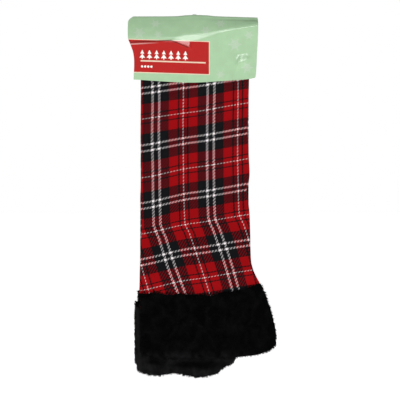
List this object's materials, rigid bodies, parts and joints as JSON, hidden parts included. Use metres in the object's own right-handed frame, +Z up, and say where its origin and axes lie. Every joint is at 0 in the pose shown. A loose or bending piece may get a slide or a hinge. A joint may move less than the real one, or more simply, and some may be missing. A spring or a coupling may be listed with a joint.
{
  "type": "tree skirt",
  "caption": "Tartan tree skirt with a deep plush border, folded into a flat hanging pack whose top is held in a folded card header.",
  "frame": {"origin": "middle of the crease at the top of the card header, where the pack is held", "axes": "+Z up along the hanging pack, +Y towards its back, +X to the right seen from the front"},
  "size_m": [0.2346, 0.0546, 0.5847],
  "materials": {
    "card": "glossy coated",
    "nylon": "clear, glossy",
    "tartan": "woven cotton twill",
    "plush": "short pile plush",
    "tape": "woven tape",
    "ribbon": "satin",
    "label": "satin"
  },
  "bodies": {
    "header": {"header_crease": "card", "tag_pin": "nylon", "hole_binding": "tape", "upper_leaf_1": "tartan", "upper_leaf_2": "tartan", "upper_leaf_3": "tartan", "upper_leaf_4": "tartan", "upper_leaf_5": "tartan", "upper_leaf_6": "tartan", "upper_leaf_7": "tartan", "upper_leaf_8": "tartan"},
    "front_flap": {"header_front_flap": "card"},
    "back_flap": {"header_back_flap": "card"},
    "skirt": {"cloth_leaf_1": "tartan", "cloth_leaf_2": "tartan", "cloth_leaf_3": "tartan", "cloth_leaf_4": "tartan", "cloth_leaf_5": "tartan", "cloth_leaf_6": "tartan", "cloth_leaf_7": "tartan", "cloth_leaf_8": "tartan", "plush_leaf_1": "plush", "plush_leaf_2": "plush", "plush_leaf_3": "plush", "plush_leaf_4": "plush", "plush_leaf_5": "plush", "plush_leaf_6": "plush", "plush_leaf_7": "plush", "plush_leaf_8": "plush", "tie_upper_left": "ribbon", "tie_upper_right": "ribbon", "tie_lower_left": "ribbon", "tie_lower_right": "ribbon", "care_label": "label"}
  },
  "joints": [
    {"name": "front_flap_lift", "type": "hinge", "parent": "header", "child": "front_flap", "pos_m": [0, -0.0067, -0.0075], "axis": [-1, 0, 0], "range_deg": [0, 100]},
    {"name": "back_flap_lift", "type": "hinge", "parent": "header", "child": "back_flap", "pos_m": [0, 0.0067, -0.0075], "axis": [1, 0, 0], "range_deg": [0, 100]},
    {"name": "skirt_swing", "type": "hinge", "parent": "header", "child": "skirt", "pos_m": [0, 0, -0.11], "axis": [-1, 0, 0], "range_deg": [-35, 35]}
  ]
}
